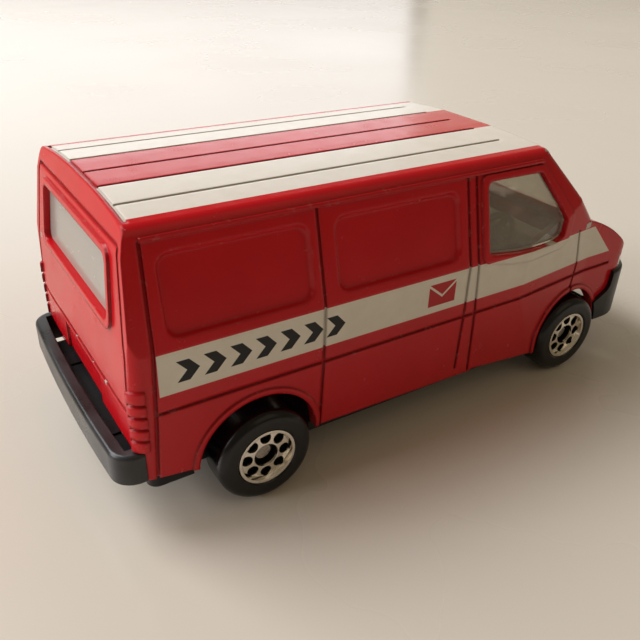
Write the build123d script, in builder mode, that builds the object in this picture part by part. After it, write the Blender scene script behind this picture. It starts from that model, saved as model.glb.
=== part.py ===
"""Die-cast toy delivery van, about 1:63, modelled at the toy's own size.

Millimetres. +X is the front of the van, +Y its left side, +Z up. The origin lies on the
ground, on the centre line, midway between the two bumpers.
"""
import os
from math import atan2, cos, degrees, radians, sin

from build123d import *

os.makedirs("parts", exist_ok=True)

# Running gear
wheelbase = 44.7
wheel_radius = 5.1
tyre_width = 4.2
tyre_shoulder = 0.9
rim_radius = 3.1
rear_wheel_face = 16.65
front_wheel_face = 15.45
axle_radius = 0.55
axle_head_radius = 0.85
axle_head_length = 0.3
running_clearance = 0.06
wheel_side_play = 0.12

# Wheel face: a dished disc with a ring of round pockets about a wide centre pocket
hub_lip = 0.3
hub_dish = 0.45
hub_pocket_count = 8
hub_pocket_radius = 0.6
hub_pocket_circle = 2.05
hub_pocket_depth = 0.9
hub_centre_radius = 1.3
hub_centre_depth = 1.6

# Body casting, heights above the ground and distances from the origin
wall = 1.1
half_length = 37.05
belt_height = 19.3
belt_half_width = 15.15
gutter_height = 28.9
gutter_half_width = 12.8
roof_shoulder_radius = 1.2
roof_height = 30.45
roof_crown = 0.12
waist_height = 13.2
waist_half_width = 15.2
sill_half_width = 14.8
sill_height = 4.9

tail_x = -34.7
tail_window_x = -34.3
tail_header_x = -33.5
roof_rear_x = -32.65
windscreen_top_x = 14.7
cowl_x = 25.0
cowl_height = 19.8
bonnet_front_x = 33.6
bonnet_front_height = 14.3
bonnet_crown = 0.7
nose_x = 35.2
nose_height = 10.6

tail_corner_radius = 1.4
nose_corner_radius = 3.6
nose_half_width = 13.7
shoulder_x = 12.0
cowl_half_width = 13.8
screen_pillar_radius = 1.2

# Fit between neighbouring pieces of the toy
fit = 0.08

# Wheel arches
rear_arch_gap = 1.4
front_arch_gap = 0.8
front_arch_lead = 0.5
arch_lip_width = 0.6
arch_lip_height = 0.22

# Grooves of the casting: joints between panels, as (distance, height) points where they bend
groove_width = 0.34
groove_depth = 0.28
rear_corner_joint = ((-32.9, 5.0), (-32.3, 19.3), (-31.9, 28.0))
load_door_joint_x = -15.3
load_door_front_joint = ((3.3, 6.0), (3.1, 12.8))
cab_door_rear_joint = ((5.5, 5.0), (4.7, 14.0), (4.3, 20.0))
cab_door_front_joint = ((22.4, 11.0), (22.7, 14.8), (21.7, 19.4))
bonnet_seam_y = 12.4
bonnet_lip_height = 13.8
tailgate_half_width = 13.9
tailgate_side_joint = ((-14.1, 6.0), (-tailgate_half_width, belt_height), (-12.1, 28.2))
tailgate_bottom = 8.0
tail_notch_half_width = 12.2
tailgate_fold_height = 13.3
roof_groove_y = (0, 4.2, 8.4)
roof_groove_depth = 0.16
roof_rim_length = 0.35
roof_rim_half_width = 11.6
grille_slat_count = 3
grille_height = 12.2
grille_pitch = 0.62
grille_slot = 0.3
grille_half_width = 7.4

# Recessed panels of the load space and the rain gutter above them
panel_recess = 0.5
panel_low = 20.45
panel_high = 27.05
panel_corner = 1.0
panel_edge_slope = 35
rear_panel_x = (-30.55, -16.55)
mid_panel_x = (-13.25, 1.55)
gutter_width = 0.35
gutter_rear_x = -31.9

# Number plate recess and ribbed lamps at the tail
plate_half_width = 5.8
plate_low = 8.8
plate_high = 12.6
lamp_low = 9.6
lamp_high = 16.0
lamp_reach = 0.25
lamp_side_length = 1.3
lamp_inner_y = 14.2
lamp_rib_count = 5

# Headlamps
headlamp_rear_x = 32.3
headlamp_inner_y = 8.6
headlamp_low = 11.2
headlamp_high = 13.45
headlamp_thickness = 0.7

# Windows. The outlines are (distance, height) points of the side view
frame_height = 0.28
cab_window_outline = (
    (5.7, 27.7), (13.9, 27.6), (17.2, 23.3), (18.3, 21.6),
    (18.2, 19.6), (16.6, 19.1), (10.5, 19.35), (5.7, 19.95),
)
cab_frame_outline = (
    (4.9, 28.4), (14.3, 28.35), (19.5, 22.0), (19.4, 19.4),
    (17.9, 18.1), (12.0, 17.95), (8.9, 18.35), (4.9, 19.3),
)
cab_window_corner = 0.7
rear_window_low = 20.6
rear_window_high = 26.7
rear_window_half_width = 10.4
rear_window_side_angle = 84
rear_window_corner = 0.9
rear_frame_border = 0.7
windscreen_low = 21.1
windscreen_high = 28.7
windscreen_half_width = 12.1
windscreen_side_angle = 79
windscreen_corner = 1.0
pane_thickness = 0.8
pane_lap = 0.9
pane_inset = 0.35
cab_pane_rear_x = 3.9
cab_pane_low = 18.4
rear_pane_front_x = -30.0

# Lower edge of the casting from tail to nose, as (distance, height) points
sill_outline = (
    (tail_x, 6.2), (-28.8, 5.3), (-15.8, 5.2), (5.9, 4.8), (6.0, 5.05),
    (16.8, 3.9), (18.0, 5.7),
)

# Base plate and riveting posts
base_bottom = 3.6
base_thickness = 1.2
base_taper_x = 16.0
base_edge_gap = 0.3
base_side_gap = 0.2
wheel_gap = 0.45
post_radius = 1.6
spigot_radius = 1.0
rivet_radius = 1.7
rivet_height = 0.45
rivet_well_depth = 0.5
front_post_x = 29.9
rear_post_x = -10.0
saddle_height = 1.6
saddle_width = 3.2
saddle_half_length = 1.4
saddle_corner = 0.6

# Bumpers
front_bumper_half_width = 14.3
front_bumper_corner = 6.0
front_bumper_low = 5.1
front_bumper_high = 11.8
front_bumper_end_x = 31.0
front_bumper_bow = 0.6
front_bumper_edge = 0.5
front_bumper_tuck = 0.8
rear_bumper_half_width = 15.0
rear_bumper_corner = 2.2
rear_bumper_bow = 0.5
rear_bumper_low = 6.2
rear_bumper_high = 9.4
rear_bumper_edge = 0.45
rear_bumper_thickness = 1.25
rear_bumper_end_x = -33.85
bumper_arm_y = 7.0
bumper_arm_width = 2.4
bumper_arm_top = 7.2
bumper_arm_lap = 4.0
bumper_web_gap = 0.25

# Cab interior. The outlines are (distance, height) points of the side view, the dashboard's
# measured from its edge nearest to the seats
floor_thickness = 1.0
floor_rear_x = 3.4
toe_board_gap = 2.15
toe_board_top = 13.5
cab_wheel_gap = 0.75
dashboard_half_width = 11.8
dashboard_reach = 3.3
dashboard_outline = ((0, 13.2), (0.5, 16.4), (1.7, 17.4), (5.5, 17.0), (5.5, 13.2))
dashboard_corner = 0.5
seat_outline = ((6.0, 8.8), (5.0, 21.0), (6.6, 21.0), (7.7, 11.4), (11.9, 11.2), (12.4, 8.8))
seat_corner = 0.6
seat_plinth_x = (6.6, 11.6)
seat_plinth_top = 9.6
seat_plinth_inset = 0.6
driver_y = -6.3
driver_seat_width = 6.2
bench_y = (-1.9, 9.6)
headrest_x = (5.1, 6.4)
headrest_z = (20.2, 23.6)
headrest_width = 3.2
bench_headrest_spread = 2.8
steering_gap = 1.6
steering_height = 17.6
steering_radius = 2.3
steering_tube = 0.33
steering_rake = 35
steering_column = 3.4

front_axle_x = wheelbase / 2
rear_axle_x = -wheelbase / 2
rear_arch_radius = wheel_radius + rear_arch_gap
front_arch_x = front_axle_x + front_arch_lead
front_arch_radius = wheel_radius + front_arch_gap
arches = ((rear_axle_x, rear_arch_radius), (front_arch_x, front_arch_radius))
toe_board_x = front_axle_x - toe_board_gap
dashboard_x = toe_board_x - dashboard_reach
base_top = base_bottom + base_thickness
base_half_width = sill_half_width - wall - base_side_gap
flank_lean = atan2(belt_half_width - gutter_half_width, gutter_height - belt_height)
half_groove = groove_width / 2
below_ground = -4.0
far = 60.0
everywhere = (-far, far)
right_side = (-far, -11.0)


def envelope(inset):
    """Outer form of the van, its surfaces moved inwards by inset, or outwards when negative."""
    corners = Kind.INTERSECTION if inset < 0 else Kind.ARC
    with BuildPart() as form:
        with BuildSketch(Plane.XZ):
            with BuildLine():
                tail_foot = (tail_x - 0.1, below_ground)
                Polyline(
                    tail_foot,
                    (tail_x, waist_height),
                    (tail_window_x, 20.0),
                    (tail_header_x, 27.4),
                    (tail_header_x + 0.35, 28.8),
                    (roof_rear_x, roof_height),
                    (windscreen_top_x, roof_height),
                    (cowl_x, cowl_height),
                )
                bonnet = ThreePointArc(
                    (cowl_x, cowl_height),
                    (
                        (cowl_x + bonnet_front_x) / 2,
                        (cowl_height + bonnet_front_height) / 2 + bonnet_crown,
                    ),
                    (bonnet_front_x, bonnet_front_height),
                )
                Polyline(
                    bonnet @ 1,
                    (nose_x, nose_height),
                    (nose_x, below_ground),
                    tail_foot,
                )
            make_face()
            offset(amount=-inset, kind=corners, mode=Mode.REPLACE)
        extrude(amount=waist_half_width + 5, both=True)

        with BuildSketch(Plane.XY.offset(below_ground - 5)):
            with BuildLine():
                Polyline(
                    (tail_x - 0.3, 0),
                    (tail_x + 0.1, belt_half_width),
                    (shoulder_x, belt_half_width + 0.05),
                    (cowl_x, cowl_half_width),
                    (nose_x - 4.0, nose_half_width),
                    (nose_x - 0.5, nose_half_width),
                    (nose_x + 0.1, 0),
                )
                mirror(about=Plane.XZ)
            make_face()
            fillet(vertices().group_by(Axis.X)[1], tail_corner_radius)
            fillet(vertices().group_by(Axis.X)[-2], nose_corner_radius)
            offset(amount=-inset, kind=corners, mode=Mode.REPLACE)
        extrude(amount=far, mode=Mode.INTERSECT)

        with BuildSketch(Plane.YZ):
            with BuildLine():
                Polyline(
                    (0, below_ground),
                    (sill_half_width - 0.5, below_ground),
                    (sill_half_width, sill_height),
                    (waist_half_width, waist_height),
                    (belt_half_width, belt_height),
                    (gutter_half_width, gutter_height),
                )
                shoulder = JernArc(
                    (gutter_half_width, gutter_height),
                    (-sin(flank_lean), cos(flank_lean)),
                    roof_shoulder_radius,
                    60,
                )
                roof_edge = shoulder @ 1
                ThreePointArc(
                    roof_edge,
                    (roof_edge.X / 2, roof_height - roof_crown),
                    (0, roof_height),
                )
                mirror(about=Plane.YZ)
            make_face()
            offset(amount=-inset, kind=corners, mode=Mode.REPLACE)
        extrude(amount=far, both=True, mode=Mode.INTERSECT)
    return form.part


def skin(outer, inner):
    """Layer of the van's surface between two insets."""
    with BuildPart() as layer:
        add(envelope(outer))
        add(envelope(inner), mode=Mode.SUBTRACT)
    return layer.part


def within(layer, region):
    """The piece of a surface layer that lies inside a region."""
    with BuildPart() as piece:
        add(layer)
        add(region, mode=Mode.INTERSECT)
    return piece.part


def slab(x_range, y_range, z_range):
    """Box between two bounds along each axis."""
    with BuildPart() as box:
        centre = [(low + high) / 2 for low, high in (x_range, y_range, z_range)]
        size = [high - low for low, high in (x_range, y_range, z_range)]
        with Locations(tuple(centre)):
            Box(*size)
    return box.part


def both_sides(part):
    """A piece of the right-hand side together with its mirror image on the left."""
    with BuildPart() as pair:
        add(part)
        mirror(part, about=Plane.XZ)
    return pair.part


def side_outline(points, corner, border=0):
    """Prism across the van with an outline of the side view, rounded and widened by a border."""
    with BuildPart() as prism:
        with BuildSketch(Plane.XZ):
            Polygon(*points, align=None)
            fillet(vertices(), corner)
            if border:
                offset(amount=border, mode=Mode.REPLACE)
        extrude(amount=far, both=True)
    return prism.part


def upright_joint(points, plane=Plane.XZ, reach=far):
    """Strip as wide as a groove along points of the side view, or of another plane's view."""
    with BuildPart() as strip:
        with BuildSketch(plane):
            one_edge = [(across - half_groove, z) for across, z in points]
            other_edge = [(across + half_groove, z) for across, z in reversed(points)]
            Polygon(*one_edge, *other_edge, align=None)
        extrude(amount=reach)
    return strip.part


def level_joint(x_range, y_range, z):
    """Strip as wide as a groove at one height."""
    return slab(x_range, y_range, (z - half_groove, z + half_groove))


def rear_opening(border):
    """Prism through the tail with the rear window's outline, widened by a border."""
    with BuildPart() as prism:
        with BuildSketch(Plane.YZ.offset(tail_x - 3)):
            with Locations((0, (rear_window_low + rear_window_high) / 2)):
                Trapezoid(
                    2 * (rear_window_half_width + border),
                    rear_window_high - rear_window_low + 2 * border,
                    rear_window_side_angle,
                )
            fillet(vertices(), rear_window_corner + border / 2)
        extrude(amount=6)
    return prism.part


def windscreen_opening(border):
    """Prism through the nose with the windscreen's outline, widened by a border."""
    with BuildPart() as prism:
        with BuildSketch(Plane.YZ.offset(shoulder_x)):
            with Locations((0, (windscreen_low + windscreen_high) / 2)):
                Trapezoid(
                    2 * (windscreen_half_width + border),
                    windscreen_high - windscreen_low + 2 * border,
                    windscreen_side_angle,
                )
            fillet(vertices(), windscreen_corner + border / 2)
        extrude(amount=cowl_x + wall - shoulder_x)
    return prism.part


def arch_disc(x, radius):
    """Disc over the right-hand wheel at x, from inside the flank outwards."""
    with BuildPart() as disc:
        with BuildSketch(Plane.XZ.offset(10)):
            with Locations((x, wheel_radius)):
                Circle(radius)
        extrude(amount=10)
    return disc.part


with BuildPart() as outer_form:
    add(envelope(0))
    screen_middle = ((windscreen_top_x + cowl_x) / 2, 0, (roof_height + cowl_height) / 2)
    screen = faces().sort_by_distance(screen_middle)[0]
    fillet(screen.edges().sort_by(Axis.Z)[1:], screen_pillar_radius)

raised_skin = skin(-frame_height, wall / 2)
groove_skin = skin(-0.5, groove_depth)
roof_groove_skin = skin(-0.5, roof_groove_depth)

cab_window = side_outline(cab_window_outline, cab_window_corner)
cab_window_frame = side_outline(cab_frame_outline, cab_window_corner)

# Joints between the panels on the right-hand side, then those that cross the van
flank_top = gutter_height - gutter_width
with BuildPart() as side_joints:
    add(upright_joint(((load_door_joint_x, 0), (load_door_joint_x, flank_top))))
    for joint in (rear_corner_joint, load_door_front_joint, cab_door_rear_joint):
        add(upright_joint(joint + ((joint[-1][0], flank_top),)))
    add(upright_joint(cab_door_front_joint))
    add(level_joint((rear_corner_joint[1][0], front_post_x), right_side, waist_height))
    tail_plane = Plane.YZ.offset(tail_x - 1)
    add(upright_joint(tailgate_side_joint, tail_plane, tail_header_x - tail_x + 1.3))
    bonnet_seam = (-bonnet_seam_y, -bonnet_seam_y + groove_width)
    add(slab((cowl_x + 0.8, far), bonnet_seam, (bonnet_lip_height, far)))

with BuildPart() as cross_joints:
    for half_width, z in (tailgate_side_joint[-1], (-tailgate_half_width, tailgate_fold_height)):
        add(level_joint((-far, tail_header_x + 0.4), (half_width, -half_width), z))
    bonnet_width = (-bonnet_seam_y, bonnet_seam_y)
    add(level_joint((nose_x - 3, far), bonnet_width, bonnet_lip_height))
    grille_width = (-grille_half_width, grille_half_width)
    for slat in range(grille_slat_count):
        z = grille_height + grille_pitch * (slat - (grille_slat_count - 1) / 2)
        slot = (z - grille_slot / 2, z + grille_slot / 2)
        add(slab((nose_x - 3, far), grille_width, slot))

with BuildPart() as roof_joints:
    rim_x = roof_rear_x + roof_rim_length
    for y in roof_groove_y:
        for side in (-1, 1):
            line = (side * y - half_groove, side * y + half_groove)
            add(slab((rim_x, windscreen_top_x - 3), line, (gutter_height, far)))
    rim_width = (-roof_rim_half_width, roof_rim_half_width)
    add(slab((rim_x - half_groove, rim_x + half_groove), rim_width, (gutter_height, far)))

# Panel recesses in the leaning upper flank, their edges sloped
flank_plane = Plane(
    origin=(0, -belt_half_width, belt_height),
    x_dir=(1, 0, 0),
    z_dir=(0, -cos(flank_lean), sin(flank_lean)),
)
with BuildPart() as panel_cut:
    low = (panel_low - belt_height) / cos(flank_lean)
    high = (panel_high - belt_height) / cos(flank_lean)
    with BuildSketch(flank_plane.offset(-panel_recess)):
        for x_rear, x_front in (rear_panel_x, mid_panel_x):
            with Locations(((x_rear + x_front) / 2, (low + high) / 2)):
                RectangleRounded(x_front - x_rear, high - low, panel_corner)
    extrude(amount=1.2 * panel_recess, taper=-panel_edge_slope)

# Wheel arches and their raised lips
with BuildPart() as arch_cut:
    for x, radius in arches:
        add(arch_disc(x, radius))
        add(slab((x - radius, x + radius), (-20, -10), (below_ground, wheel_radius)))

with BuildPart() as arch_lip:
    for x, radius in arches:
        add(arch_disc(x, radius + arch_lip_width))
arch_lips = within(skin(-arch_lip_height, wall / 2), both_sides(arch_lip.part))

# What is cut away below the sills, below the tailgate and behind the rear bumper
with BuildPart() as sill_cut:
    with BuildSketch(Plane.XZ):
        Polygon(
            (-far, below_ground - 2), (-far, sill_outline[0][1]), *sill_outline,
            (far, sill_outline[-1][1]), (far, below_ground - 2),
            align=None,
        )
    extrude(amount=far, both=True)
    tail_width = (-tail_notch_half_width, tail_notch_half_width)
    add(slab((-far, tail_x + wall + base_edge_gap), tail_width, (below_ground, tailgate_bottom)))
    bumper_zone = (below_ground, rear_bumper_high + fit)
    add(slab((-far, rear_bumper_end_x), everywhere, bumper_zone))

number_plate_recess = slab(
    (-far, tail_x + wall), (-plate_half_width, plate_half_width), (plate_low, plate_high)
)

# Ribbed tail lamps on the rear corners
lamp_front_x = tail_x + lamp_side_length
lamp_block = slab((-far, lamp_front_x), (-far, -lamp_inner_y), (lamp_low, lamp_high))
lamp_pitch = (lamp_high - lamp_low) / lamp_rib_count
with BuildPart() as lamp_slots:
    for rib in range(1, lamp_rib_count):
        slot_y = (-far, -lamp_inner_y + lamp_reach)
        add(level_joint((-far, lamp_front_x + lamp_reach), slot_y, lamp_low + rib * lamp_pitch))

headlamp_block = slab(
    (headlamp_rear_x, far), (-far, -headlamp_inner_y), (headlamp_low, headlamp_high)
)
headlamp_layer = within(skin(0, headlamp_thickness), headlamp_block)

# Posts of the casting that pass through the base plate and are riveted over in its wells
with BuildPart() as posts:
    upwards = (Align.CENTER, Align.CENTER, Align.MIN)
    for x in (front_post_x, rear_post_x):
        with Locations((x, 0, base_top)):
            Cylinder(post_radius, far, align=upwards)
    add(envelope(wall / 2), mode=Mode.INTERSECT)
    for x in (front_post_x, rear_post_x):
        with Locations((x, 0, base_bottom + rivet_well_depth - rivet_height)):
            Cylinder(rivet_radius, rivet_height, align=upwards)
            Cylinder(spigot_radius, base_thickness - rivet_well_depth + rivet_height, align=upwards)

with BuildPart() as body_shell:
    add(outer_form.part)
    right_region = slab(everywhere, right_side, everywhere)
    add(both_sides(within(raised_skin, within(cab_window_frame, right_region))))
    add(within(raised_skin, rear_opening(rear_frame_border)))
    gutter_x = (gutter_rear_x, windscreen_top_x - 0.5)
    gutter_line = slab(gutter_x, right_side, (flank_top, gutter_height))
    add(both_sides(within(raised_skin, gutter_line)))
    add(arch_lips)
    add(both_sides(within(skin(-lamp_reach, wall / 2), lamp_block)))
    add(envelope(wall), mode=Mode.SUBTRACT)
    add(both_sides(within(groove_skin, side_joints.part)), mode=Mode.SUBTRACT)
    add(within(groove_skin, cross_joints.part), mode=Mode.SUBTRACT)
    add(within(roof_groove_skin, roof_joints.part), mode=Mode.SUBTRACT)
    add(within(groove_skin, number_plate_recess), mode=Mode.SUBTRACT)
    add(both_sides(within(skin(-0.5, 0), lamp_slots.part)), mode=Mode.SUBTRACT)
    add(both_sides(panel_cut.part), mode=Mode.SUBTRACT)
    add(cab_window, mode=Mode.SUBTRACT)
    add(rear_opening(0), mode=Mode.SUBTRACT)
    add(windscreen_opening(0), mode=Mode.SUBTRACT)
    add(both_sides(arch_cut.part), mode=Mode.SUBTRACT)
    add(sill_cut.part, mode=Mode.SUBTRACT)
    add(both_sides(headlamp_layer), mode=Mode.SUBTRACT)
    add(posts.part)

# Clear windows against the inside of the casting, their panes standing up into its openings
pane_skin = skin(wall, wall + pane_thickness)
raised_pane_skin = skin(pane_inset, wall + pane_thickness)
cab_pane = side_outline(cab_window_outline, cab_window_corner, -fit)
with BuildPart() as cab_glazing:
    cab_pane_x = (cab_pane_rear_x, cowl_x - 0.3)
    add(within(pane_skin, slab(cab_pane_x, everywhere, (cab_pane_low, far))))
    add(within(raised_pane_skin, cab_pane))
    add(within(raised_pane_skin, windscreen_opening(-fit)))

with BuildPart() as rear_glazing:
    pane_edge = rear_window_half_width + pane_lap
    pane_z = (rear_window_low - pane_lap, far)
    add(within(pane_skin, slab((-far, rear_pane_front_x), (-pane_edge, pane_edge), pane_z)))
    add(within(raised_pane_skin, rear_opening(-fit)))

# Headlamps set into the nose
with BuildPart() as headlamp_right:
    add(headlamp_layer)

with BuildPart() as headlamp_left:
    mirror(headlamp_layer, about=Plane.XZ)

# Base plate with the saddles that hold the axles
front_waist = front_wheel_face - tyre_width - wheel_gap
rear_waist = rear_wheel_face - tyre_width - wheel_gap
base_rear_x = tail_x + wall + base_edge_gap
base_front_x = nose_x - wall - base_edge_gap
with BuildPart() as base_plate:
    with BuildSketch(Plane.XY.offset(base_bottom)):
        with BuildLine():
            Polyline(
                (base_rear_x, 0),
                (base_rear_x, base_half_width),
                (base_taper_x, base_half_width),
                (base_front_x, nose_half_width - wall - base_edge_gap),
                (base_front_x, 0),
            )
            mirror(about=Plane.XZ)
        make_face()
        fillet(vertices().group_by(Axis.X)[-1], nose_corner_radius)
        fillet(vertices().group_by(Axis.X)[0], tail_corner_radius - base_edge_gap)
    extrude(amount=base_thickness)
    for side in (-1, 1):
        for (x, radius), waist in zip(arches, (rear_waist, front_waist)):
            with Locations((x, side * (waist + far) / 2, base_bottom)):
                Box(2 * radius, far - waist, 4 * base_thickness, mode=Mode.SUBTRACT)
    for x, waist in ((front_axle_x, front_waist), (rear_axle_x, rear_waist)):
        for side in (-1, 1):
            saddle_y = side * (waist - saddle_width / 2)
            with Locations((x, saddle_y, base_top + saddle_height / 2)):
                Box(2 * saddle_half_length, saddle_width, saddle_height)
    fillet(edges().filter_by(Axis.Y).group_by(Axis.Z)[-1], saddle_corner)
    for x in (front_axle_x, rear_axle_x):
        with Locations((x, 0, wheel_radius)):
            Cylinder(axle_radius, 2 * belt_half_width, rotation=(90, 0, 0), mode=Mode.SUBTRACT)
    for x in (front_post_x, rear_post_x):
        with Locations((x, 0, base_bottom)):
            Cylinder(spigot_radius + fit, 4 * base_thickness, mode=Mode.SUBTRACT)
            Cylinder(rivet_radius + fit, 2 * rivet_well_depth, mode=Mode.SUBTRACT)

# Front bumper, wrapped round the nose below the lamps
with BuildPart() as front_bumper:
    with BuildSketch(Plane.XY.offset(front_bumper_low)):
        with BuildLine():
            Polyline(
                (front_arch_x + 3, 0),
                (front_arch_x + 3, front_bumper_half_width),
                (half_length - front_bumper_bow, front_bumper_half_width - 0.1),
                (half_length, 0),
            )
            mirror(about=Plane.XZ)
        make_face()
        fillet(vertices().group_by(Axis.X)[-2], front_bumper_corner)
    extrude(amount=front_bumper_high - front_bumper_low)
    fillet(faces().sort_by(Axis.Z)[-1].edges().sort_by(Axis.X)[3:], front_bumper_edge)
    with BuildSketch(Plane.XZ):
        Polygon(
            (front_arch_x, front_bumper_low),
            (front_bumper_end_x - 0.6, 9.0),
            (front_bumper_end_x - 0.1, 9.8),
            (front_bumper_end_x, front_bumper_high),
            (half_length, front_bumper_high),
            (half_length, front_bumper_low + front_bumper_tuck),
            (half_length - front_bumper_tuck, front_bumper_low),
            align=None,
        )
    extrude(amount=far, both=True, mode=Mode.INTERSECT)
    with Locations((front_arch_x, 0, wheel_radius)):
        Cylinder(front_arch_radius, far, rotation=(90, 0, 0), mode=Mode.SUBTRACT)
    add(outer_form.part, mode=Mode.SUBTRACT)
    add(arch_lips, mode=Mode.SUBTRACT)

# Rear bumper, standing clear of the tail on two arms and closed below by a web
with BuildPart() as rear_bumper:
    bumper_side_x = -half_length + rear_bumper_bow
    with BuildSketch(Plane.XY.offset(rear_bumper_low)):
        with BuildLine():
            bow = ThreePointArc(
                (bumper_side_x, -rear_bumper_half_width),
                (-half_length, 0),
                (bumper_side_x, rear_bumper_half_width),
            )
            Polyline(
                bow @ 1,
                (rear_bumper_end_x, rear_bumper_half_width),
                (rear_bumper_end_x, -rear_bumper_half_width),
                bow @ 0,
            )
        make_face()
        fillet(vertices().group_by(Axis.X)[0], rear_bumper_corner)
    extrude(amount=rear_bumper_high - rear_bumper_low)
    fillet(edges().filter_by(GeomType.CIRCLE).group_by(Axis.Z)[-1], rear_bumper_edge)
    with BuildSketch(Plane.XY.offset(rear_bumper_low)):
        with BuildLine():
            inner_x = bumper_side_x + rear_bumper_thickness
            inner_y = rear_bumper_half_width - rear_bumper_thickness
            inner_bow = ThreePointArc(
                (inner_x, -inner_y), (inner_x - rear_bumper_bow, 0), (inner_x, inner_y)
            )
            Polyline(inner_bow @ 1, (0, inner_y), (0, -inner_y), inner_bow @ 0)
        make_face()
    extrude(amount=far, mode=Mode.SUBTRACT)
    for side in (-1, 1):
        arm_x = (-half_length + rear_bumper_thickness, tail_x + bumper_arm_lap)
        arm_y = side * bumper_arm_y
        half_arm = bumper_arm_width / 2
        add(slab(arm_x, (arm_y - half_arm, arm_y + half_arm), (base_top, bumper_arm_top)))
    web_x = (inner_x - rear_bumper_bow, tail_x - bumper_web_gap)
    add(slab(web_x, (-inner_y, inner_y), (rear_bumper_low, bumper_arm_top)))


def axle(x, face):
    """Axle with its heads, which sit in the centre pockets of the two wheels."""
    length = 2 * (face - hub_centre_depth + wheel_side_play + axle_head_length)
    with BuildPart() as rod:
        with Locations((x, 0, wheel_radius)):
            Cylinder(axle_radius, length, rotation=(90, 0, 0))
            for side in (-1, 1):
                with Locations((0, side * (length - axle_head_length) / 2, 0)):
                    Cylinder(axle_head_radius, axle_head_length, rotation=(90, 0, 0))
    return rod.part


with BuildPart() as front_axle:
    add(axle(front_axle_x, front_wheel_face))

with BuildPart() as rear_axle:
    add(axle(rear_axle_x, rear_wheel_face))

# One wheel, its outer face towards -Y at the origin: the plastic tyre and the foiled hub
with BuildPart() as tyre:
    with BuildSketch(Plane.XY):
        with BuildLine():
            Polyline(
                (rim_radius, 0.2),
                (rim_radius + 0.25, 0),
                (wheel_radius, 0),
                (wheel_radius, tyre_width),
                (rim_radius, tyre_width),
                close=True,
            )
        make_face()
        fillet(vertices().group_by(Axis.X)[-1], tyre_shoulder)
    revolve(axis=Axis.Y)

with BuildPart() as hub:
    with BuildSketch(Plane.XY):
        with BuildLine():
            Polyline(
                (axle_radius + running_clearance, hub_centre_depth),
                (hub_centre_radius, hub_centre_depth),
                (hub_centre_radius, hub_dish),
                (rim_radius - hub_lip - 0.2, hub_dish + 0.15),
                (rim_radius - hub_lip, 0.1),
                (rim_radius, 0.1),
                (rim_radius, tyre_width),
                (axle_radius + running_clearance, tyre_width),
                close=True,
            )
        make_face()
    revolve(axis=Axis.Y)
    with BuildSketch(Plane.XZ.offset(-hub_dish - hub_pocket_depth)):
        with PolarLocations(hub_pocket_circle, hub_pocket_count):
            Circle(hub_pocket_radius)
    extrude(amount=2 * hub_pocket_depth, mode=Mode.SUBTRACT)

# Cab interior: floor, toe board, dashboard and seats in one moulding
with BuildPart() as cab_interior:
    cab_half_width = front_wheel_face - tyre_width - cab_wheel_gap
    cab_width = (-cab_half_width, cab_half_width)
    add(slab((floor_rear_x, toe_board_x), cab_width, (base_top, base_top + floor_thickness)))
    add(slab((toe_board_x - floor_thickness, toe_board_x), cab_width, (base_top, toe_board_top)))
    with BuildSketch(Plane.XZ):
        Polygon(*[(dashboard_x + x, z) for x, z in dashboard_outline], align=None)
        fillet(vertices(), dashboard_corner)
    extrude(amount=dashboard_half_width, both=True)
    bench_middle = sum(bench_y) / 2
    bench_headrests = (bench_middle - bench_headrest_spread, bench_middle + bench_headrest_spread)
    driver_seat_y = (driver_y - driver_seat_width / 2, driver_y + driver_seat_width / 2)
    for (y_low, y_high), headrests in ((driver_seat_y, (driver_y,)), (bench_y, bench_headrests)):
        plinth_y = (y_low + seat_plinth_inset, y_high - seat_plinth_inset)
        add(slab(seat_plinth_x, plinth_y, (base_top, seat_plinth_top)))
        with BuildSketch(Plane.XZ.offset(-y_high)):
            Polygon(*seat_outline, align=None)
            fillet(vertices(), seat_corner)
        extrude(amount=y_high - y_low)
        for y in headrests:
            headrest_y = (y - headrest_width / 2, y + headrest_width / 2)
            add(slab(headrest_x, headrest_y, headrest_z))

# Steering wheel on the right, its column let into the dashboard
rake = radians(steering_rake)
steering_plane = Plane(
    origin=(dashboard_x - steering_gap, driver_y, steering_height),
    x_dir=(0, 1, 0),
    z_dir=(-cos(rake), 0, sin(rake)),
)
with BuildPart() as steering_wheel:
    with BuildSketch(steering_plane):
        Circle(steering_radius + steering_tube)
        Circle(steering_radius - steering_tube, mode=Mode.SUBTRACT)
        with PolarLocations(0, 3, start_angle=30):
            with Locations((steering_radius / 2, 0)):
                Rectangle(steering_radius, 2 * steering_tube)
        Circle(3 * steering_tube)
    extrude(amount=steering_tube, both=True)
    with BuildSketch(steering_plane):
        Circle(1.4 * steering_tube)
    extrude(amount=-steering_column)
    add(cab_interior.part, mode=Mode.SUBTRACT)

pieces = {
    "body_shell": body_shell.part,
    "base_plate": base_plate.part,
    "front_bumper": front_bumper.part,
    "rear_bumper": rear_bumper.part,
    "cab_glazing": cab_glazing.part,
    "rear_glazing": rear_glazing.part,
    "headlamp_right": headlamp_right.part,
    "headlamp_left": headlamp_left.part,
    "cab_interior": cab_interior.part,
    "steering_wheel": steering_wheel.part,
    "front_axle": front_axle.part,
    "rear_axle": rear_axle.part,
}
for end, x, face in (
    ("front", front_axle_x, front_wheel_face),
    ("rear", rear_axle_x, rear_wheel_face),
):
    for hand, side in (("right", -1), ("left", 1)):
        place = Pos(x, side * face, wheel_radius) * Rot(0, 0, 180 if side > 0 else 0)
        pieces[f"tyre_{end}_{hand}"] = place * tyre.part
        pieces[f"hub_{end}_{hand}"] = place * hub.part

for name, piece in pieces.items():
    piece.label = name
    export_step(piece, f"parts/{name}.step")
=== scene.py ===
"""Finishes, light and camera for a die-cast toy delivery van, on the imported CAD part."""
import math

import bmesh
import bpy
import numpy as np
from mathutils import Matrix, Vector


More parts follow.
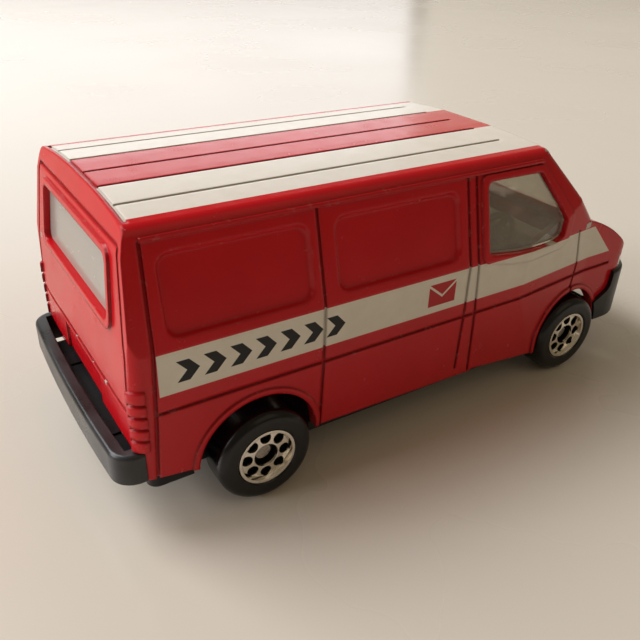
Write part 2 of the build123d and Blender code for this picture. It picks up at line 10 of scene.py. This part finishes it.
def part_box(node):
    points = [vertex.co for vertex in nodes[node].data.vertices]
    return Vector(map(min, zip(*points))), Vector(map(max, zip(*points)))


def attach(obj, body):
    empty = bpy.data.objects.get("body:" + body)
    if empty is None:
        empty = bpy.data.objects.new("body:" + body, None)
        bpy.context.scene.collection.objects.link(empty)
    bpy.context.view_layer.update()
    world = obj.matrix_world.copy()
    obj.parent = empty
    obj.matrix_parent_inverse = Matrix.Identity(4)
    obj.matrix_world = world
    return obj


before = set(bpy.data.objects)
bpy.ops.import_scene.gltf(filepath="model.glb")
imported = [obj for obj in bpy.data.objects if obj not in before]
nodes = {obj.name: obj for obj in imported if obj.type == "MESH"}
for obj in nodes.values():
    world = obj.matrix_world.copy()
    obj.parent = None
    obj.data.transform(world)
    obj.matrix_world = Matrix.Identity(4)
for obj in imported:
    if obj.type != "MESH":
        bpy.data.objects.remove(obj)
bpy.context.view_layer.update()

MM = 0.001

# Fine measures of the finishes, in millimetres
SPARK_GRAIN = 0.12
FLUTE_PITCH = 0.5
FOIL_DEPTH = 0.62

# The print on the casting, in millimetres along the van, across it and up
PRINT_INNER_Y = 11.6
STRIPE_LOW, STRIPE_HIGH = 14.95, 19.15
STRIPE_REAR = -32.1
STRIPE_NOSE_LOW = 29.3
STRIPE_NOSE_LEAN = -1.0
ROOF_STRIPE = (4.2, 11.15)
ROOF_STRIPE_REAR = -32.3
ROOF_STRIPE_LOW = 28.0
CHEVRON_RANGE = (-29.6, -12.6)
CHEVRON_PITCH = 2.55
CHEVRON_STROKE = (1.15, 2.35)
CHEVRON_MIDDLE, CHEVRON_HALF_HEIGHT = 17.0, 1.08
CHEVRON_LEAN = 0.9
ENVELOPE_X, ENVELOPE_Z = -0.55, 17.05
ENVELOPE_HALF_LENGTH, ENVELOPE_HALF_HEIGHT = 1.85, 1.3
FLAP_LEAN = -0.78
FLAP_LINE = (-0.42, -0.12)
BEYOND = 40.0

# Bare metal shows where the paint is knocked off: x, y, z and reach, in millimetres
CHIPS = (
    (-34.8, 3.4, 8.7, 1.0), (-34.8, 1.2, 8.3, 0.6), (-34.8, -10.4, 8.5, 1.0),
    (-34.8, -11.3, 9.3, 0.45), (-34.7, -7.9, 13.1, 0.5), (-34.7, -4.0, 13.2, 0.35),
    (-34.7, 1.5, 13.2, 0.4), (15.2, -12.6, 29.6, 0.55), (23.6, -13.95, 19.6, 0.7),
    (31.9, -12.6, 14.4, 0.5), (-16.9, -13.4, 27.1, 0.22), (32.5, 12.0, 14.2, 0.6),
    (-34.4, 12.9, 20.0, 0.5), (14.6, 9.0, 30.2, 0.4), (-32.6, -12.4, 30.0, 0.5),
    (-6.0, 2.0, 30.4, 0.3),
)

# Settings and the output that blend two colours, and two numbers
COLOURS = {"data_type": "RGBA", "out": 2}
NUMBERS = {"data_type": "FLOAT"}


def linear(hex_colour):
    """An sRGB hex colour as linear red, green, blue and a full alpha."""
    shares = [int(hex_colour[i:i + 2], 16) / 255 for i in (1, 3, 5)]
    return tuple(c / 12.92 if c <= 0.04045 else ((c + 0.055) / 1.055) ** 2.4 for c in shares) + (1.0,)


def add(tree, kind, inputs=None, out=0, **settings):
    """Adds one node with its settings, gives each input a value or the output that feeds it, and
    returns one of the node's outputs."""
    made = tree.nodes.new("ShaderNode" + kind)
    for name, value in settings.items():
        setattr(made, name, value)
    for socket, value in (inputs or {}).items():
        if isinstance(value, bpy.types.NodeSocket):
            tree.links.new(value, made.inputs[socket])
        else:
            made.inputs[socket].default_value = value
    return made.outputs[out] if made.outputs else None


def start(name):
    """An empty node material and its tree."""
    material = bpy.data.materials.new(name)
    material.use_nodes = True
    material.node_tree.nodes.clear()
    return material, material.node_tree


def place_mm(tree):
    """Where a point lies on its piece, in millimetres."""
    place = add(tree, "TexCoord", out="Object")
    return add(tree, "VectorMath", {0: place, "Scale": 1 / MM}, operation="SCALE")


def between(tree, value, low, high, soft=0.04):
    """1 where a value lies between two bounds, falling to 0 over a soft edge; bounds may be outputs."""
    rises = add(tree, "Math", {0: value, 1: low}, operation="SUBTRACT")
    falls = add(tree, "Math", {0: high, 1: value}, operation="SUBTRACT")
    nearer = add(tree, "Math", {0: rises, 1: falls}, operation="MINIMUM")
    edge = {0: nearer, 1: -soft / 2, 2: soft / 2}
    return add(tree, "MapRange", edge, interpolation_type="SMOOTHSTEP")


def all_of(tree, *masks):
    """The product of masks: where every one of them is."""
    joined = masks[0]
    for mask in masks[1:]:
        joined = add(tree, "Math", {0: joined, 1: mask}, operation="MULTIPLY")
    return joined


def any_of(tree, *masks):
    """The largest of masks: where at least one of them is."""
    joined = masks[0]
    for mask in masks[1:]:
        joined = add(tree, "Math", {0: joined, 1: mask}, operation="MAXIMUM")
    return joined


def without(tree, mask, hole):
    """A mask less another mask's area."""
    rest = add(tree, "Math", {0: 1.0, 1: hole}, operation="SUBTRACT")
    return all_of(tree, mask, rest)


def clouds_within(tree, place, size_mm, low, high, first=0.0, second=1.0, detail=3.0, roughness=0.5):
    """Cloudy noise with lumps about this many millimetres across, its range from low to high
    stretched to go from the first to the second value."""
    noise = {"Vector": place, "Scale": 1 / size_mm, "Detail": detail, "Roughness": roughness}
    lumps = add(tree, "TexNoise", noise)
    return add(tree, "MapRange", {0: lumps, 1: low, 2: high, 3: first, 4: second})


def worn_edges(tree, radius_mm, place):
    """Rounded normals for the shading, and a broken mask along the sharp edges that fingers rub."""
    soft = add(tree, "Bevel", {"Radius": radius_mm * MM}, samples=6)
    hard = add(tree, "NewGeometry", out="Normal")
    facing = add(tree, "VectorMath", {0: soft, 1: hard}, out="Value", operation="DOT_PRODUCT")
    edge = add(tree, "MapRange", {0: facing, 1: 0.985, 2: 0.90})
    patchy = clouds_within(tree, place, 0.9, 0.60, 0.68, detail=4.0)
    return soft, all_of(tree, edge, patchy)


def moulded(name, colour, pale, roughness, bump=0.05, shine=0.3, edge=0.12):
    """Injection-moulded plastic: a fine spark-eroded skin, cloudy gloss and edges scuffed paler."""
    material, tree = start(name)
    place = place_mm(tree)
    clouds = add(tree, "TexNoise", {"Vector": place, "Scale": 1 / 4.0, "Detail": 4.0, "Roughness": 0.5})
    sparks = {"Vector": place, "Scale": 1 / SPARK_GRAIN, "Detail": 2.0, "Roughness": 0.5}
    skin = add(tree, "TexNoise", sparks)
    soft, scuffed = worn_edges(tree, edge, place)
    mottle = add(tree, "MapRange", {0: clouds, 1: 0.35, 2: 0.7, 3: 0.0, 4: 0.35})
    tone = add(tree, "Mix", {0: mottle, 6: linear(colour), 7: linear(pale)}, **COLOURS)
    tone = add(tree, "Mix", {0: all_of(tree, scuffed, 0.55), 6: tone, 7: linear(pale)}, **COLOURS)
    relief = {"Strength": bump, "Distance": 0.03 * MM, "Height": skin, "Normal": soft}
    gloss = {0: clouds, 1: 0.3, 2: 0.7, 3: roughness * 0.85, 4: roughness * 1.25}
    surface = add(tree, "BsdfPrincipled", {
        "Base Color": tone, "Roughness": add(tree, "MapRange", gloss),
        "Normal": add(tree, "Bump", relief), "Specular IOR Level": shine,
    })
    add(tree, "OutputMaterial", {"Surface": surface})
    return material


def livery(tree, place):
    """Masks of the printed off-white, the printed black and the red pictogram on the van's sides."""
    x, y, z = (add(tree, "SeparateXYZ", {0: place}, out=axis) for axis in "XYZ")
    side = add(tree, "Math", {0: y}, operation="ABSOLUTE")
    flank = between(tree, side, PRINT_INNER_Y, BEYOND)
    lean = add(tree, "Math", {0: z, 1: STRIPE_LOW}, operation="SUBTRACT")
    slant = {0: lean, 1: STRIPE_NOSE_LEAN, 2: STRIPE_NOSE_LOW}
    nose = add(tree, "Math", slant, operation="MULTIPLY_ADD")
    stripe = all_of(
        tree, flank, between(tree, z, STRIPE_LOW, STRIPE_HIGH), between(tree, x, STRIPE_REAR, nose)
    )
    roof = all_of(
        tree,
        between(tree, side, *ROOF_STRIPE),
        between(tree, z, ROOF_STRIPE_LOW, BEYOND),
        between(tree, x, ROOF_STRIPE_REAR, BEYOND),
    )

    # A row of chevrons that point forward: the height above their middle line leans each stroke
    middle = add(tree, "Math", {0: z, 1: CHEVRON_MIDDLE}, operation="SUBTRACT")
    height = add(tree, "Math", {0: middle}, operation="ABSOLUTE")
    run = add(tree, "Math", {0: height, 1: CHEVRON_LEAN, 2: x}, operation="MULTIPLY_ADD")
    turn = add(tree, "Math", {0: run, 1: CHEVRON_PITCH}, operation="FLOORED_MODULO")
    chevrons = all_of(
        tree,
        flank,
        between(tree, turn, *CHEVRON_STROKE),
        between(tree, height, -1.0, CHEVRON_HALF_HEIGHT),
        between(tree, run, *CHEVRON_RANGE),
    )

    # A closed envelope: a filled oblong with its flap drawn by two pale slanting lines
    along = add(tree, "Math", {0: x, 1: ENVELOPE_X}, operation="SUBTRACT")
    along = add(tree, "Math", {0: along}, operation="ABSOLUTE")
    up = add(tree, "Math", {0: z, 1: ENVELOPE_Z}, operation="SUBTRACT")
    rise = add(tree, "Math", {0: up}, operation="ABSOLUTE")
    oblong = all_of(
        tree,
        flank,
        between(tree, along, -1.0, ENVELOPE_HALF_LENGTH),
        between(tree, rise, -1.0, ENVELOPE_HALF_HEIGHT),
    )
    flap = add(tree, "Math", {0: along, 1: FLAP_LEAN, 2: up}, operation="MULTIPLY_ADD")
    envelope = without(tree, oblong, between(tree, flap, *FLAP_LINE))
    return any_of(tree, stripe, roof), chevrons, envelope


def chipped(tree, place):
    """Mask of the knocked-off paint: balls round each place, their rims broken up by noise."""
    ragged = clouds_within(tree, place, 0.5, 0.25, 0.75, -0.9, 0.9, detail=5.0, roughness=0.6)
    spots = []
    for px, py, pz, reach in CHIPS:
        away = add(tree, "VectorMath", {0: place, 1: (px, py, pz)}, out="Value", operation="DISTANCE")
        rim = add(tree, "Math", {0: ragged, 1: reach * 0.9, 2: away}, operation="MULTIPLY_ADD")
        spots.append(between(tree, rim, -BEYOND, reach * 0.55, 0.06))
    return any_of(tree, *spots)


def enamel():
    """Glossy stoved enamel on cast zinc, pad-printed in off-white: rich colour under a hard shine, a
    faint orange peel, painted shade that darkens the grooves, and bright zinc where it is chipped."""
    material, tree = start("stoved_enamel_on_cast_zinc")
    place = place_mm(tree)
    soft, rubbed = worn_edges(tree, 0.4, place)
    white, black, envelope = livery(tree, place)
    clouds = add(tree, "TexNoise", {"Vector": place, "Scale": 1 / 7.0, "Detail": 3.0, "Roughness": 0.5})
    smear = add(tree, "TexNoise", {"Vector": place, "Scale": 1 / 2.2, "Detail": 5.0, "Roughness": 0.6})
    peel = add(tree, "TexNoise", {"Vector": place, "Scale": 1 / 0.8, "Detail": 2.0, "Roughness": 0.5})
    # Painted shade: ambient occlusion darkens the red and the printed cream down in the grooves and
    # recesses
    groove_occlusion = add(tree, "AmbientOcclusion", {"Distance": 0.9 * MM}, out="AO", samples=6, only_local=True)
    groove_shade = add(tree, "MapRange", {0: groove_occlusion, 1: 0.35, 2: 0.85, 3: 1.0, 4: 0.0})

    red = add(tree, "Mix", {0: clouds, 6: linear("#B80C17"), 7: linear("#CE1420")}, **COLOURS)
    red = add(tree, "Mix", {0: all_of(tree, groove_shade, 0.5), 6: red, 7: linear("#5E060B")}, **COLOURS)
    cream = add(tree, "Mix", {0: smear, 6: linear("#D8D0C2"), 7: linear("#EAE5DA")}, **COLOURS)
    cream = add(tree, "Mix", {0: all_of(tree, groove_shade, 0.25), 6: cream, 7: linear("#8B7C66")}, **COLOURS)
    thin = clouds_within(tree, place, 0.35, 0.70, 0.76, detail=4.0, roughness=0.7)
    cover = without(tree, white, all_of(tree, thin, 0.5))
    coat = add(tree, "Mix", {0: cover, 6: red, 7: cream}, **COLOURS)
    coat = add(tree, "Mix", {0: envelope, 6: coat, 7: linear("#B5121B")}, **COLOURS)
    coat = add(tree, "Mix", {0: black, 6: coat, 7: linear("#101114")}, **COLOURS)
    bare = any_of(tree, chipped(tree, place), all_of(tree, rubbed, 0.12))
    coat = add(tree, "Mix", {0: bare, 6: coat, 7: linear("#B9B4AC")}, **COLOURS)

    height = add(tree, "Math", {0: white, 1: 0.5, 2: peel}, operation="MULTIPLY_ADD")
    height = add(tree, "Math", {0: bare, 1: -2.0, 2: height}, operation="MULTIPLY_ADD")
    relief = {"Strength": 0.18, "Distance": 0.03 * MM, "Height": height, "Normal": soft}
    gloss = add(tree, "MapRange", {0: smear, 1: 0.35, 2: 0.75, 3: 0.16, 4: 0.30})
    gloss = add(tree, "Mix", {0: white, 2: gloss, 3: 0.30}, **NUMBERS)
    gloss = add(tree, "Mix", {0: bare, 2: gloss, 3: 0.42}, **NUMBERS)
    surface = add(tree, "BsdfPrincipled", {
        "Base Color": coat, "Metallic": all_of(tree, bare, 0.9), "Roughness": gloss, "IOR": 1.5,
        "Normal": add(tree, "Bump", relief), "Specular IOR Level": 0.32,
    })
    add(tree, "OutputMaterial", {"Surface": surface})
    return material


def clear_styrene(name, tint, haze, clear):
    """Clear polystyrene glazing: sees through, mirrors at a slant, with a moulding haze in its gloss and
    hairlines; the share that is not clear is a pale milky diffuse veil, a painted reflection of the room."""
    material, tree = start(name)
    place = place_mm(tree)
    cloudy = add(tree, "TexNoise", {"Vector": place, "Scale": 1 / 3.0, "Detail": 5.0, "Roughness": 0.6})
    slanted = {"Vector": place, "Scale": (0.25, 0.25, 3.0), "Rotation": (0.3, 0.1, 0.6)}
    hairline = clouds_within(tree, add(tree, "Mapping", slanted), 0.35, 0.66, 0.72)
    gloss = add(tree, "MapRange", {0: cloudy, 1: 0.35, 2: 0.75, 3: haze, 4: haze * 2.2})
    gloss = add(tree, "Math", {0: hairline, 1: 0.10, 2: gloss}, operation="MULTIPLY_ADD")
    relief = {"Strength": 0.06, "Distance": 0.05 * MM, "Height": cloudy}
    # Painted reflection: where the pane is not clear it is a pale diffuse veil in the tint, which stands
    # in for the room mirrored in the glazing
    pane = add(tree, "BsdfPrincipled", {
        "Base Color": linear(tint), "Roughness": gloss, "IOR": 1.5,
        "Normal": add(tree, "Bump", relief), "Transmission Weight": clear,
    })
    through = add(tree, "BsdfTransparent", {"Color": linear(tint)})
    lamp_ray = add(tree, "LightPath", out="Is Shadow Ray")
    surface = add(tree, "MixShader", {0: lamp_ray, 1: pane, 2: through})
    add(tree, "OutputMaterial", {"Surface": surface})
    return material


def headlamp_silver():
    """Headlamp lenses in silver paint over the casting: upright flutes half a millimetre apart."""
    material, tree = start("silvered_headlamp")
    place = place_mm(tree)
    across = add(tree, "SeparateXYZ", {0: place}, out="Y")
    waves = add(tree, "Math", {0: across, 1: 2 * math.pi / FLUTE_PITCH}, operation="MULTIPLY")
    flutes = add(tree, "Math", {0: waves}, operation="SINE")
    dust = add(tree, "TexNoise", {"Vector": place, "Scale": 1 / 0.8, "Detail": 4.0, "Roughness": 0.5})
    tone = add(tree, "Mix", {0: dust, 6: linear("#C9C4B8"), 7: linear("#EDEAE2")}, **COLOURS)
    soft = add(tree, "Bevel", {"Radius": 0.15 * MM}, samples=6)
    relief = {"Strength": 0.35, "Distance": 0.05 * MM, "Height": flutes, "Normal": soft}
    gloss = add(tree, "MapRange", {0: dust, 1: 0.3, 2: 0.7, 3: 0.18, 4: 0.34})
    surface = add(tree, "BsdfPrincipled", {
        "Base Color": tone, "Metallic": 0.35, "Roughness": gloss,
        "Normal": add(tree, "Bump", relief), "Coat Weight": 0.8, "Coat Roughness": 0.08,
    })
    add(tree, "OutputMaterial", {"Surface": surface})
    return material


def hub_foil(name, face_mm):
    """Hot-stamped foil on the raised face of a black hub: warm bright metal, black down in the
    pockets, with pinholes where the black shows through."""
    material, tree = start(name)
    place = place_mm(tree)
    across = add(tree, "SeparateXYZ", {0: place}, out="Y")
    side = add(tree, "Math", {0: across}, operation="ABSOLUTE")
    raised = between(tree, side, face_mm - FOIL_DEPTH, BEYOND, 0.03)
    speck = clouds_within(tree, place, 0.22, 0.70, 0.74)
    foil = without(tree, raised, all_of(tree, speck, 0.8))
    ripple = add(tree, "TexNoise", {"Vector": place, "Scale": 1 / 0.5, "Detail": 3.0, "Roughness": 0.5})
    soft = add(tree, "Bevel", {"Radius": 0.08 * MM}, samples=6)
    relief = {"Strength": 0.12, "Distance": 0.03 * MM, "Height": ripple, "Normal": soft}
    metal = add(tree, "Mix", {0: ripple, 6: linear("#E2DACA"), 7: linear("#FAF7F0")}, **COLOURS)
    tone = add(tree, "Mix", {0: foil, 6: linear("#0B0C0E"), 7: metal}, **COLOURS)
    gloss = add(tree, "Mix", {0: foil, 2: 0.38, 3: 0.14}, **NUMBERS)
    surface = add(tree, "BsdfPrincipled", {
        "Base Color": tone, "Metallic": foil, "Roughness": gloss, "Normal": add(tree, "Bump", relief),
    })
    add(tree, "OutputMaterial", {"Surface": surface})
    return material


def drawn_steel():
    """Drawn steel wire: bright, with fine streaks along its length across the van."""
    material, tree = start("drawn_steel_wire")
    place = place_mm(tree)
    streaks = add(tree, "Mapping", {"Vector": place, "Scale": (8.0, 0.3, 8.0)})
    lines = add(tree, "TexNoise", {"Vector": streaks, "Scale": 1.0, "Detail": 4.0, "Roughness": 0.5})
    tone = add(tree, "Mix", {0: lines, 6: linear("#8E8B86"), 7: linear("#CFCBC4")}, **COLOURS)
    relief = {"Strength": 0.15, "Distance": 0.02 * MM, "Height": lines}
    gloss = add(tree, "MapRange", {0: lines, 1: 0.3, 2: 0.7, 3: 0.22, 4: 0.4})
    surface = add(tree, "BsdfPrincipled", {
        "Base Color": tone, "Metallic": 1.0, "Roughness": gloss, "Normal": add(tree, "Bump", relief),
    })
    add(tree, "OutputMaterial", {"Surface": surface})
    return material


finishes = {
    "body_shell": enamel(),
    "base_plate": moulded("black_base_plastic", "#141416", "#2C2C2E", 0.48, bump=0.12),
    "front_bumper": moulded("charcoal_bumper_plastic", "#141617", "#34363A", 0.34, bump=0.08),
    # Painted light: the rear bumper's copy of the charcoal plastic is paler than the front's, standing in
    # for the window light on its rear face
    "rear_bumper": moulded(
        "charcoal_bumper_plastic_rear_painted_light", "#17191A", "#45454A", 0.30, bump=0.08, shine=0.45
    ),
    # Painted reflection: the pale tints and the part of each pane that is not clear stand in for the room
    # mirrored in the glazing; the rear pane is mostly this veil
    "cab_glazing": clear_styrene("clear_polystyrene_cab", "#E6E3D8", 0.03, 0.86),
    "rear_glazing": clear_styrene("polystyrene_rear_painted_reflection", "#B8B2A9", 0.12, 0.35),
    "headlamp_right": headlamp_silver(),
    "cab_interior": moulded("grey_tan_interior_plastic", "#A39C8C", "#C2BBAA", 0.45, bump=0.08),
    "steering_wheel": moulded("grey_tan_steering_plastic", "#A39C8C", "#C2BBAA", 0.42, edge=0.06),
    "front_axle": drawn_steel(),
    "tyre": moulded("gloss_black_tyre_plastic", "#07080B", "#14161A", 0.22, bump=0.05, shine=0.4),
}
finishes["headlamp_left"] = finishes["headlamp_right"]
finishes["rear_axle"] = finishes["front_axle"]
for end in ("front", "rear"):
    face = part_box(f"hub_{end}_left")[1].y / MM
    finishes[f"hub_{end}"] = hub_foil(f"hot_foil_on_black_{end}", face)


def dress(name, finish):
    """Puts one finish in every material slot of a CAD node."""
    slots = nodes[name].material_slots
    if not slots:
        nodes[name].data.materials.append(finish)
    for slot in slots:
        slot.material = finish


for name in nodes:
    if name.startswith("tyre_"):
        dress(name, finishes["tyre"])
    elif name.startswith("hub_"):
        dress(name, finishes["hub_front" if "front" in name else "hub_rear"])
    else:
        dress(name, finishes[name])


def soft_slab(name, low, high, steps=33, squareness=0.16):
    """Closed slab with soft edges between two corners, a superellipsoid: with u from pole to pole and v
    round it, each half-measure is scaled by cos u cos v, cos u sin v or sin u, all to a small power."""
    latitude = np.linspace(-0.5, 0.5, steps) * np.pi
    longitude = np.linspace(-1, 1, steps)[:-1] * np.pi
    u, v = np.meshgrid(latitude, longitude, indexing="ij")
    waves = [np.cos(u), np.sin(u), np.cos(v), np.sin(v)]
    cu, su, cv, sv = (np.sign(w) * np.abs(w) ** squareness for w in waves)
    low, high = np.array(low, float), np.array(high, float)
    unit = np.stack([cu * cv, cu * sv, su], -1).reshape(-1, 3)
    points = (low + high) / 2 + unit * (high - low) / 2
    index = np.arange(points.shape[0]).reshape(u.shape)
    following = np.roll(index, -1, 1)
    faces = np.stack([index[:-1], following[:-1], following[1:], index[1:]], -1).reshape(-1, 4)
    mesh = bpy.data.meshes.new(name)
    mesh.from_pydata(points.tolist(), [], faces.tolist())
    weld = bmesh.new()
    weld.from_mesh(mesh)
    bmesh.ops.remove_doubles(weld, verts=weld.verts, dist=1e-7)
    weld.to_mesh(mesh)
    weld.free()
    made = bpy.data.objects.new(name, mesh)
    bpy.context.scene.collection.objects.link(made)
    return made


# Web between the rear bumper and the base, which closes the slot below the tailgate: a closing web, and a
# dark sheet in black base plastic put there as painted shade below the tailgate
bumper_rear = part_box("rear_bumper")[0].x
base_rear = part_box("base_plate")[0].x
SHADE_WEB_HALF_WIDTH, SHADE_WEB_LOW, SHADE_WEB_HIGH = 12.0 * MM, 5.0 * MM, 7.0 * MM
SHADE_WEB_FROM_BUMPER, SHADE_WEB_OVER_BASE = 1.6 * MM, 0.3 * MM
shade_web = soft_slab(
    "rear_shade_web",
    (bumper_rear + SHADE_WEB_FROM_BUMPER, -SHADE_WEB_HALF_WIDTH, SHADE_WEB_LOW),
    (base_rear + SHADE_WEB_OVER_BASE, SHADE_WEB_HALF_WIDTH, SHADE_WEB_HIGH),
)
shade_web.data.materials.append(finishes["base_plate"])
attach(shade_web, "van")


def sheet(name, corners, steps=2):
    """Flat grid stretched between four corners: points blend the corners along both directions."""
    a, b, c, d = (np.array(p, float) for p in corners)
    u, v = np.meshgrid(np.linspace(0, 1, steps), np.linspace(0, 1, steps), indexing="ij")
    u, v = u[..., None], v[..., None]
    points = (a * (1 - u) * (1 - v) + b * u * (1 - v) + c * u * v + d * (1 - u) * v).reshape(-1, 3)
    index = np.arange(steps * steps).reshape(steps, steps)
    faces = np.stack([index[:-1, :-1], index[1:, :-1], index[1:, 1:], index[:-1, 1:]], -1).reshape(-1, 4)
    mesh = bpy.data.meshes.new(name)
    mesh.from_pydata(points.tolist(), [], faces.tolist())
    made = bpy.data.objects.new(name, mesh)
    bpy.context.scene.collection.objects.link(made)
    return made


def tabletop():
    """Pale lacquered tabletop: warm white under a soft gloss with faint wiping marks."""
    material, tree = start("pale_lacquered_tabletop")
    noise = {"Vector": place_mm(tree), "Scale": 1 / 60.0, "Detail": 4.0, "Roughness": 0.5}
    wiped = add(tree, "TexNoise", noise)
    tone = add(tree, "Mix", {0: wiped, 6: linear("#D2CABC"), 7: linear("#D9D2C6")}, **COLOURS)
    gloss = add(tree, "MapRange", {0: wiped, 1: 0.3, 2: 0.7, 3: 0.22, 4: 0.30})
    surface = add(tree, "BsdfPrincipled", {
        "Base Color": tone, "Roughness": gloss, "IOR": 1.45, "Coat Weight": 0.1, "Coat Roughness": 0.18,
    })
    add(tree, "OutputMaterial", {"Surface": surface})
    return material


FLOOR = 3.0
floor = sheet("tabletop", ((-FLOOR, -FLOOR, 0), (FLOOR, -FLOOR, 0), (FLOOR, FLOOR, 0), (-FLOOR, FLOOR, 0)))
floor.data.materials.append(tabletop())


def softbox(name, place, target, size, power, colour):
    """Rectangular area light that faces a point."""
    lamp = bpy.data.lights.new(name, "AREA")
    lamp.shape = "RECTANGLE"
    lamp.size, lamp.size_y = size
    lamp.energy = power
    lamp.color = linear(colour)[:3]
    made = bpy.data.objects.new(name, lamp)
    bpy.context.scene.collection.objects.link(made)
    made.location = place
    made.rotation_euler = (Vector(target) - Vector(place)).to_track_quat("-Z", "Y").to_euler()
    return made


softbox("window_behind", (-0.36, 0.38, 0.60), (0, 0, 0.01), (0.46, 0.46), 5.4, "#FBFAFC")
softbox("far_windows", (0.30, 0.92, 0.27), (0, 0, 0.01), (0.8, 0.42), 1.7, "#FAFBFF")
softbox("far_wall", (1.05, 0.62, 0.30), (0, 0, 0.01), (0.85, 0.5), 0.9, "#FFF8EA")
softbox("window_left", (-0.62, 0.16, 0.28), (0, 0, 0.01), (0.3, 0.3), 2.4, "#FBFAFF")
softbox("room_fill", (0.25, -0.55, 0.55), (0, 0, 0.01), (0.6, 0.6), 0.35, "#FFE4C4")

world = bpy.data.worlds.new("room")
world.use_nodes = True
world.node_tree.nodes.clear()
room = add(world.node_tree, "Background", {"Color": linear("#DCC8A8"), "Strength": 0.27})
add(world.node_tree, "OutputWorld", {"Surface": room})
bpy.context.scene.world = world
bpy.context.scene.view_settings.view_transform = "Standard"

# Camera: turned about the van, looking down, held slightly askew
turn, tilt, roll = math.radians(-33.589), math.radians(30.068), math.radians(2.2175)
back = Vector((math.sin(turn) * math.cos(tilt), -math.cos(turn) * math.cos(tilt), math.sin(tilt)))
right = Vector((math.cos(turn), math.sin(turn), 0))
up = right.cross(-back)
right, up = right * math.cos(roll) + up * math.sin(roll), up * math.cos(roll) - right * math.sin(roll)
lens = bpy.data.cameras.new("camera")
lens.sensor_width = 36.0
lens.lens = 39.557
lens.clip_start, lens.clip_end = 0.002, 20.0
camera = bpy.data.objects.new("camera", lens)
bpy.context.scene.collection.objects.link(camera)
camera.matrix_world = Matrix.Translation((-0.0477553, -0.0630625, 0.0514194)) @ Matrix(
    (
        (right.x, up.x, back.x, 0),
        (right.y, up.y, back.y, 0),
        (right.z, up.z, back.z, 0),
        (0, 0, 0, 1),
    )
)
bpy.context.scene.camera = camera
